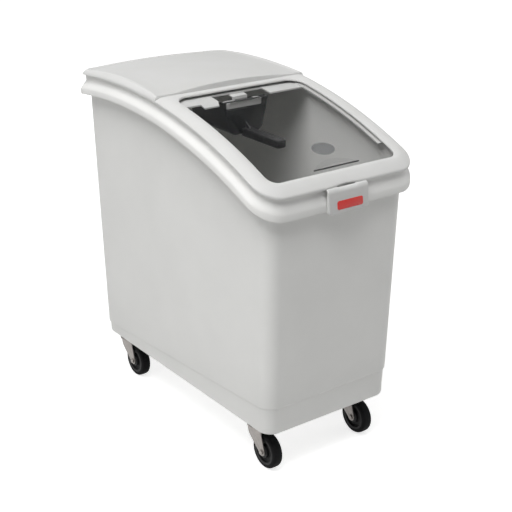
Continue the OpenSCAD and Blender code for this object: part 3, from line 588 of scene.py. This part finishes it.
# section across the bin carried along the arch, from one place to another
def sweepOnArch(bm, section, fromY, toY, radius, steps):
    start = math.asin((fromY - archCentre.y) / radius)
    end = math.asin((toY - archCentre.y) / radius)
    turn = Matrix.Rotation(-start, 4, "X")
    verts = [bm.verts.new(archCentre + turn @ Vector((x, 0, r))) for x, r in section]
    face = bm.faces.new(verts)
    bmesh.ops.spin(bm, geom=[face] + list(face.edges) + verts, cent=archCentre, axis=(-1, 0, 0),
                   angle=end - start, steps=steps)


# clear window: an arched sheet with round corners and a small grey oval
windowLow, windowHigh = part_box("window_panel")
windowSet = {"gap": 0.4 * mm, "thick": 3 * mm, "corner": 14 * mm, "shares": (0.9, 0.75, 0.58, 0.4, 0.22, 0.07),
             "ovalAt": (22 * mm, -251 * mm), "ovalHalf": (26 * mm, 18 * mm), "ovalDeep": 0.3 * mm,
             "ovalGap": 0.02 * mm, "ovalSteps": 48, "ovalShares": (0.99, 0.7, 0.4, 0.12), "frontGap": 0.1 * mm}


def buildWindow():
    s = windowSet
    top = lidR - s["gap"]
    low = top - s["thick"]
    edge = outline(windowHigh.x, windowLow.y + s["frontGap"], windowHigh.y, s["corner"], s["corner"])
    insets = [drawnIn(edge, share) for share in s["shares"]]
    rings = [onArch(points, low) for points in reversed(insets)] + [onArch(edge, low)]
    rings += [onArch(edge, top)] + [onArch(points, top) for points in insets]
    bm = bmesh.new()
    capShell(bm, rings)
    plain = set(bm.faces)
    across, along = s["ovalHalf"]
    turns = [math.radians(360 * i / s["ovalSteps"]) for i in range(s["ovalSteps"])]
    oval = [Vector(s["ovalAt"]) + Vector((across * math.cos(t), along * math.sin(t))) for t in turns]
    patch = low - s["ovalDeep"]
    rings = [onArch(oval, low - s["ovalGap"])]
    rings += [onArch(drawnIn(oval, share), patch) for share in s["ovalShares"]]
    capShell(bm, rings)
    secondFinish(bm, plain)
    return addPiece("windowSheet", bm, "window", windowPlastic, "window_plastic", "window_panel",
                    others=(veilPlastic,))


buildWindow()
print("window built")

slotFinish = {"tub_plastic": tubPlastic, "lid_plastic": lidPlastic, "window_plastic": windowPlastic,
              "scoop_plastic": scoopPlastic, "handle_plastic": handlePlastic, "inlay_plastic": inlayPlastic,
              "zinc_steel": zincSteel, "hub_plastic": hubPlastic, "tyre_rubber": tyreRubber}
nodeSlot = {part["node"]: part["material_slot"] for part in frame["record"]["subparts"]}
bodyOf = {node: body for body, members in frame["record"]["behaviour"]["bodies"].items() for node in members}


# a moulded or pressed piece with its sharp edges eased, from a merged copy of the plain one
def easeEdges(name, node, width, segments=2, sharp=30):
    bm = mergedCopy(node)
    roundEdges(bm, sharpEdges(bm, sharp), width, segments, clamp=True)
    return addPiece(name, bm, bodyOf[node], slotFinish[nodeSlot[node]], nodeSlot[node], node)


# lift tab: a soft-edged slab in front of the rim, whose top slopes back to the lip, and the bar on it
tabLow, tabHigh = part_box("lift_tab")
tabSet = {"lean": 4.2 * mm, "slope": 11 * mm, "rise": 11 * mm, "back": 9.7 * mm, "top": 49.5 * mm,
          "topTurn": 80, "topSteps": 8, "corner": 7 * mm, "ease": 2.2 * mm, "sharp": 25, "slit": 20 * mm,
          "slitRamp": 5 * mm, "slitFrom": 8 * mm, "slitScale": 0.8, "cut": 0.001 * mm, "tongue": 2.5 * mm,
          "tongueRise": 1.2 * mm, "tongueUnder": 2 * mm, "neck": 5 * mm, "barShift": (2.5 * mm, 1.3 * mm, -2 * mm),
          "barGrow": (1.06, 1, 1.22), "barEase": 0.5 * mm, "barSharp": 50, "smooth": 40}


def buildTab():
    s = tabSet
    front, top = tabLow.y, tabLow.z + s["top"]
    section = [(front, tabLow.z)]
    for i in range(s["topSteps"] + 1):
        turn = math.radians(s["topTurn"] * i / s["topSteps"])
        section.append((front + s["lean"] + (s["slope"] - s["lean"]) * (1 - math.cos(turn)),
                        top - s["rise"] * (1 - math.sin(turn))))
    # its ends reach into the lip, and the middle leaves a slit
    tongue = front + s["slope"] + s["tongue"]
    section += [(tongue, top + s["tongueRise"]), (tongue, top - s["tongueUnder"]),
                (front + s["back"], top - s["neck"]), (front + s["back"], tabLow.z)]
    bm = bmesh.new()
    face = bm.faces.new([bm.verts.new((tabLow.x, y, z)) for y, z in section])
    made = bmesh.ops.extrude_face_region(bm, geom=[face])["geom"]
    moved = [v for v in made if isinstance(v, bmesh.types.BMVert)]
    bmesh.ops.translate(bm, vec=(tabHigh.x - tabLow.x, 0, 0), verts=moved)
    feet = [e for e in bm.edges if all(v.co.z < tabLow.z + nearby for v in e.verts)
            and abs(e.verts[0].co.y - e.verts[1].co.y) > nearby]
    roundEdges(bm, feet, s["corner"], 6)
    rims = [e for e in sharpEdges(bm, s["sharp"]) if min(v.co.y for v in e.verts) < front + nearby
            or min(v.co.z for v in e.verts) > top - s["rise"]]
    roundEdges(bm, rims, s["ease"], 4, clamp=True)
    for x in (-s["slit"] - s["slitRamp"], -s["slit"], s["slit"], s["slit"] + s["slitRamp"]):
        bmesh.ops.bisect_plane(bm, geom=bm.verts[:] + bm.edges[:] + bm.faces[:], dist=s["cut"],
                               plane_co=(x, 0, 0), plane_no=(1, 0, 0))
    crest = [v for v in bm.verts if abs(v.co.x) < s["slit"] + hair and v.co.z > top - s["slitFrom"]]
    level = Matrix.Translation((0, 0, s["slitFrom"] - top))
    bmesh.ops.scale(bm, vec=(1, 1, s["slitScale"]), space=level, verts=crest)
    addPiece("liftTab", bm, "lid", lidPlastic, "lid_plastic", "lift_tab", angle=s["smooth"])
    # the bar lies along the leaning front
    bm = mergedCopy("tab_inlay")
    low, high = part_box("tab_inlay")
    middle = (low + high) / 2
    bmesh.ops.scale(bm, vec=s["barGrow"], space=Matrix.Translation(middle).inverted(), verts=bm.verts)
    tilt = Matrix.Rotation(-math.atan2(s["lean"], s["top"] - s["rise"]), 3, "X")
    bmesh.ops.rotate(bm, cent=middle, matrix=tilt, verts=bm.verts)
    bmesh.ops.translate(bm, vec=s["barShift"], verts=bm.verts)
    roundEdges(bm, sharpEdges(bm, s["barSharp"]), s["barEase"], 3)
    return addPiece("tabBar", bm, "lid", inlayPlastic, "inlay_plastic", "tab_inlay")


buildTab()
print("tab and bar built")

# hook: trough and strap with soft moulded edges
hookSet = {"ease": 1.0 * mm, "segments": 3}
easeEdges("scoopHook", "scoop_hook", hookSet["ease"], hookSet["segments"])
print("hook built")

# scoop: an open bowl, with a slot in its end wall that shows the hook's trough
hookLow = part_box("scoop_hook")[0]
bowlLow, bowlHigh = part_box("scoop_bowl")
bowlSet = {"wall": 2.5 * mm, "slotIn": 2 * mm, "slotHalf": 49 * mm, "slotTop": 2.7 * mm, "ease": 0.5 * mm,
           "sharp": 50, "wallSpare": 0.3 * mm, "square": 0.99, "cut": 0.01 * mm}


def buildBowl():
    s = bowlSet
    bm = mergedCopy("scoop_bowl")
    low, high = hookLow.z - s["slotIn"], bowlHigh.z - s["slotTop"]

    def endWall():
        return [f for f in bm.faces if abs(f.normal.y) > s["square"]
                and f.calc_center_median().y < bowlLow.y + s["wall"] + s["wallSpare"]]

    planes = [((side * s["slotHalf"], 0, 0), (1, 0, 0)) for side in (-1, 1)]
    planes += [((0, 0, z), (0, 0, 1)) for z in (low, high)]
    for place, normal in planes:
        faces = endWall()
        geom = faces + list({e for f in faces for e in f.edges}) + list({v for f in faces for v in f.verts})
        bmesh.ops.bisect_plane(bm, geom=geom, dist=s["cut"], plane_co=place, plane_no=normal)
    middles = [(f, f.calc_center_median()) for f in endWall()]
    gone = [f for f, m in middles if abs(m.x) < s["slotHalf"] and low < m.z < high]
    rims = [e for e in {e for f in gone for e in f.edges} if sum(f in gone for f in e.link_faces) == 1]
    bmesh.ops.delete(bm, geom=gone, context="FACES_ONLY")
    bmesh.ops.bridge_loops(bm, edges=rims)
    roundEdges(bm, sharpEdges(bm, s["sharp"]), s["ease"], 2, clamp=True)
    return addPiece("scoopBowl", bm, "scoop", scoopPlastic, "scoop_plastic", "scoop_bowl")


buildBowl()
print("scoop built")

# runners under the rails, and the cross band with its notch and a small lug left of it
runnerLow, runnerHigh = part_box("runner_frame")
runnerSet = {"ledge": 3 * mm, "ledgeShow": 6 * mm, "upright": 6 * mm, "gap": 0.4 * mm, "bandFront": 30 * mm,
             "bandBack": 34 * mm, "bandDrop": 1.5 * mm, "bandGap": 0.1 * mm, "notchHalf": 65 * mm,
             "lugLeft": -108 * mm, "lugRight": -70 * mm, "lugSlope": 3 * mm, "lugOut": 9 * mm, "lugDrop": 4 * mm,
             "steps": 40}


def buildRunners():
    s = runnerSet
    inner = openingHalf - s["ledgeShow"]
    wall = runnerHigh.x - s["upright"]
    ledgeTop = lidR - windowSet["gap"] - windowSet["thick"] - s["gap"]
    ledgeLow = ledgeTop - s["ledge"]
    bm = bmesh.new()
    section = [(inner, ledgeLow), (runnerHigh.x, ledgeLow), (runnerHigh.x, seatR), (wall, seatR),
               (wall, ledgeTop), (inner, ledgeTop)]
    for side in (-1, 1):
        sweepOnArch(bm, [(side * x, r) for x, r in section], runnerLow.y, runnerHigh.y, ledgeLow, s["steps"])
    bandTop = ledgeTop - s["bandDrop"]
    half = inner - s["bandGap"]
    front, rear = openingRear - s["bandFront"], openingRear + s["bandBack"]
    lugFront, slope, notch = front - s["lugOut"], s["lugSlope"], s["notchHalf"]
    plan = [(-half, front), (s["lugLeft"], front), (s["lugLeft"] + slope, lugFront), (s["lugRight"], lugFront),
            (s["lugRight"] + slope, front), (-notch, front), (-notch, openingRear), (notch, openingRear),
            (notch, front), (half, front), (half, rear), (-half, rear)]
    verts = [bm.verts.new((x, y, 0)) for x, y in plan]
    face = bm.faces.new(verts)
    made = bmesh.ops.extrude_face_region(bm, geom=[face])["geom"]
    raised = [v for v in made if isinstance(v, bmesh.types.BMVert)]
    for v in verts + raised:
        onLug = v.co.y < front - nearby
        radius = bandTop if v in raised else bandTop - s["ledge"]
        v.co.z = archHeight(v.co.y, radius - (s["lugDrop"] if onLug else 0))
    return addPiece("windowRunners", bm, "lid", lidPlastic, "lid_plastic", "runner_frame")


buildRunners()
print("runners built")

# scoop handle: a bar with a rounded end, a sunk grip on top and a rib at its root
handleLow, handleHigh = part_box("scoop_handle")
handleSet = {"tip": 8 * mm, "edge": 3 * mm, "gripIn": 3.5 * mm, "gripEase": 1.5 * mm, "gripDepth": 0.8 * mm,
             "level": 0.9, "sharp": 60, "gusset": 4 * mm, "gussetLength": 16 * mm, "gussetHeight": 12 * mm,
             "gussetTip": 0.4 * mm, "gussetSunk": 1 * mm, "gussetEase": 0.3 * mm}


def buildHandle():
    s = handleSet
    bm = bmesh.new()
    cube = bmesh.ops.create_cube(bm, size=1)["verts"]
    middle = (handleLow + handleHigh) / 2
    bmesh.ops.transform(bm, matrix=Matrix.LocRotScale(middle, None, handleHigh - handleLow), verts=cube)
    tips = [e for e in bm.edges if all(abs(v.co.y - handleLow.y) < hair for v in e.verts)
            and abs(e.verts[0].co.z - e.verts[1].co.z) > nearby]
    roundEdges(bm, tips, s["tip"], 6)
    top = max(bm.faces, key=lambda f: f.calc_center_median().z)
    bmesh.ops.inset_region(bm, faces=[top], thickness=s["gripIn"], depth=0)
    top = max((f for f in bm.faces if f.normal.z > s["level"]), key=lambda f: -f.calc_perimeter())
    bmesh.ops.inset_region(bm, faces=[top], thickness=s["gripEase"], depth=-s["gripDepth"])
    roundEdges(bm, sharpEdges(bm, s["sharp"]), s["edge"], 4)
    gusset = bmesh.ops.create_cube(bm, size=1)["verts"]
    for v in gusset:
        far = v.co.y < 0
        rise = s["gussetTip"] if far else s["gussetHeight"]
        v.co = (middle.x + v.co.x * s["gusset"], handleHigh.y - (s["gussetLength"] if far else 0),
                handleHigh.z + (rise if v.co.z > 0 else -s["gussetSunk"]))
    roundEdges(bm, edgesOf(gusset), s["gussetEase"], 2)
    return addPiece("scoopHandle", bm, "scoop", handlePlastic, "handle_plastic", "scoop_handle")


buildHandle()
print("handle built")

# finger pull: a low hood on the window, open to the front over a straight lip painted near black for the shadow in
# the slit
pullLow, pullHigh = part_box("window_pull")
pullSet = {"wall": 1.6 * mm, "columns": 40, "rows": 10, "height": 7 * mm, "lipIn": 0.4 * mm, "lip": 2.2 * mm,
           "lipHeight": 1.6 * mm, "lipShort": 1 * mm, "lipEase": 0.4 * mm, "aside": 10 * mm, "forward": 4.5 * mm,
           "hoodIn": 1.5 * mm, "hoodShare": 0.94, "hoodLeast": 0.03, "hoodBend": 0.8, "hoodEdge": 0.1 * mm}


def buildPull():
    s = pullSet
    half = pullHigh.x
    length = pullHigh.y - pullLow.y
    front = pullLow.y - s["forward"]
    top = lidR - windowSet["gap"]
    bm = bmesh.new()
    bmesh.ops.create_grid(bm, x_segments=s["columns"], y_segments=s["rows"], size=1)
    for v in bm.verts:
        arch = 1 - v.co.x ** 2
        back = (v.co.y + 1) / 2
        y = front + s["hoodIn"] + back * length * max(arch, s["hoodLeast"]) * s["hoodShare"]
        rise = s["height"] * arch * math.cos(back * math.pi / 2) ** s["hoodBend"]
        v.co = (s["aside"] + v.co.x * half, y, archHeight(y, top + max(rise, s["hoodEdge"])))
    bmesh.ops.recalc_face_normals(bm, faces=bm.faces)
    bmesh.ops.solidify(bm, geom=bm.faces[:], thickness=s["wall"])
    plain = set(bm.faces)
    # the lip is a near-black strip: painted shade for the shadow in the slit under the hood
    lip = bmesh.ops.create_cube(bm, size=1)["verts"]
    for v in lip:
        x = s["aside"] + v.co.x * 2 * (half - s["lipShort"])
        y = front + s["lipIn"] + (s["lip"] if v.co.y > 0 else 0)
        v.co = (x, y, archHeight(y, top + (s["lipHeight"] if v.co.z > 0 else 0)))
    roundEdges(bm, edgesOf(lip), s["lipEase"], 2)
    secondFinish(bm, plain)
    return addPiece("windowPull", bm, "window", windowPlastic, "window_plastic", "window_pull",
                    others=(slitShadePlastic,))


buildPull()
print("finger pull built")

# caster wheels: a rubber tyre with round shoulders on a dished core
wheelSet = {"tyre": 9 * mm, "shoulder": 5 * mm, "shoulderSteps": 6, "crown": 0.3 * mm, "steps": 72,
            "boss": 13 * mm, "bore": 6.05 * mm, "edge": 1 * mm, "web": 4.5 * mm, "dish": 2 * mm, "dishRound": 3 * mm,
            "dishDraft": 0.6 * mm, "rim": 5 * mm}


def spinWheel(bm, section, middle):
    verts = [bm.verts.new((middle.x + x, middle.y, middle.z + r)) for x, r in section]
    edges = [bm.edges.new(pair) for pair in zip(verts, verts[1:] + verts[:1])]
    bmesh.ops.spin(bm, geom=verts + edges, cent=middle, axis=(1, 0, 0), angle=2 * math.pi,
                   steps=wheelSet["steps"], use_merge=True)


def buildWheel(corner):
    s = wheelSet
    low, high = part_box("tyre_" + corner)
    middle = (low + high) / 2
    radius, half = (high.z - low.z) / 2, (high.x - low.x) / 2
    seat = radius - s["tyre"]
    shoulder = []
    for turn in quarterTurn(s["shoulderSteps"]):
        shoulder.append((half - s["shoulder"] * (1 - math.cos(turn)),
                         radius - s["crown"] - s["shoulder"] * (1 - math.sin(turn))))
    right = [(half, seat)] + shoulder
    section = right + [(0, radius)] + [(-x, r) for x, r in reversed(right)]
    bm = bmesh.new()
    spinWheel(bm, section, middle)
    addPiece("tyre" + corner.upper(), bm, "wheel_" + corner, tyreRubber, "tyre_rubber", "tyre_" + corner)
    hubLow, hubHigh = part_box("hub_" + corner)
    end = (hubHigh.x - hubLow.x) / 2
    inner = seat - s["rim"]
    boss, edge, web = s["boss"], s["edge"], s["web"]
    right = [(end, s["bore"]), (end, boss - edge), (end - edge, boss), (web + s["dish"], boss + s["dishDraft"]),
             (web, boss + s["dishRound"]), (web, inner - s["dishRound"]), (web + s["dish"], inner - s["dishDraft"]),
             (half - edge, inner), (half, inner + edge), (half, seat)]
    section = right + [(-x, r) for x, r in reversed(right)]
    bm = bmesh.new()
    spinWheel(bm, section, middle)
    addPiece("hub" + corner.upper(), bm, "wheel_" + corner, hubPlastic, "hub_plastic", "hub_" + corner)


casterEase = {"fork": 0.7 * mm, "plate": 0.6 * mm, "axle": 0.5 * mm}
for corner in casterCorners:
    buildWheel(corner)
    for node, width in casterEase.items():
        easeEdges(node + corner.upper(), node + "_" + corner, width)
print("casters built")

for node, slotName in nodeSlot.items():
    for place in nodes[node].material_slots:
        place.material = slotFinish[slotName]
print("finishes set on the plain pieces")

# studio: pale floor that stays white to the eye and keeps the shadow, a broad soft key from above
studioSet = {"floor": 12.0, "world": 0.15, "floorShade": "#D6D6D5", "floorLift": (0.74, 0.97),
             "liftOver": (0.9, 2.6), "aim": (0, 0, 0.45)}


# one for what the eye meets straight on, in a gloss or through the window, and zero for light on its way
def seenRays(tree):
    path = addNode(tree, "ShaderNodeLightPath").outputs
    seen = addNode(tree, "ShaderNodeMath", links={0: path["Is Camera Ray"], 1: path["Is Glossy Ray"]},
                   operation="MAXIMUM")
    seen = addNode(tree, "ShaderNodeMath", links={0: seen.outputs[0], 1: path["Is Transmission Ray"]},
                   operation="MAXIMUM")
    return seen.outputs[0]


bm = bmesh.new()
bmesh.ops.create_grid(bm, x_segments=1, y_segments=1, size=studioSet["floor"])
floorMesh = bpy.data.meshes.new("floor")
bm.to_mesh(floorMesh)
bm.free()
floor = bpy.data.objects.new("floor", floorMesh)
scene.collection.objects.link(floor)
# matt studio paper: no gloss, whiter further off so that its far edge is lost
floorPaint = bpy.data.materials.new("matt_studio_paper")
floorPaint.use_nodes = True
tree = floorPaint.node_tree
tree.nodes.clear()
paper = addNode(tree, "ShaderNodeBsdfDiffuse", {"Color": linear(studioSet["floorShade"])})
seen = seenRays(tree)
where = addNode(tree, "ShaderNodeTexCoord")
away = addNode(tree, "ShaderNodeVectorMath", links={0: where.outputs["Object"]}, operation="LENGTH")
(near, far), (lowLift, fullLift) = studioSet["liftOver"], studioSet["floorLift"]
spread = {"From Min": near, "From Max": far, "To Min": lowLift, "To Max": fullLift}
whiter = addNode(tree, "ShaderNodeMapRange", spread, {"Value": away.outputs["Value"]})
lift = addNode(tree, "ShaderNodeMath", links={0: seen, 1: whiter.outputs[0]}, operation="MULTIPLY")
glow = addNode(tree, "ShaderNodeEmission", links={"Strength": lift.outputs[0]})
both = addNode(tree, "ShaderNodeAddShader", links={0: paper.outputs[0], 1: glow.outputs[0]})
addNode(tree, "ShaderNodeOutputMaterial", links={"Surface": both.outputs[0]})
floorMesh.materials.append(floorPaint)

world = bpy.data.worlds.new("studio")
scene.world = world
world.use_nodes = True
tree = world.node_tree
tree.nodes.clear()
seen = seenRays(tree)
level = addNode(tree, "ShaderNodeMapRange", {"To Min": studioSet["world"], "To Max": 1.0},
                {"Value": seen})
sky = addNode(tree, "ShaderNodeBackground", {"Color": (1, 1, 1, 1)}, {"Strength": level.outputs[0]})
addNode(tree, "ShaderNodeOutputWorld", links={"Surface": sky.outputs[0]})

# each lamp: place and size in metres, and power in watts
lampSet = {"key": ((-1.42, -0.52, 3.45), 2.4, 95), "front": ((-0.2, -1.6, 3.5), 1.6, 22),
           "left": ((-3.0, -0.3, 0.6), 1.5, 10), "right": ((2.9, -1.2, 0.6), 1.5, 16),
           "rear": ((0.9, 3.0, 0.6), 1.5, 13)}
for name, (place, size, power) in lampSet.items():
    lamp = bpy.data.lights.new(name, "AREA")
    lamp.shape = "DISK"
    lamp.size = size
    lamp.energy = power
    lampObject = bpy.data.objects.new(name, lamp)
    lampObject.location = place
    aim = Vector(studioSet["aim"]) - Vector(place)
    lampObject.rotation_euler = aim.to_track_quat("-Z", "Y").to_euler()
    scene.collection.objects.link(lampObject)
print("studio set")
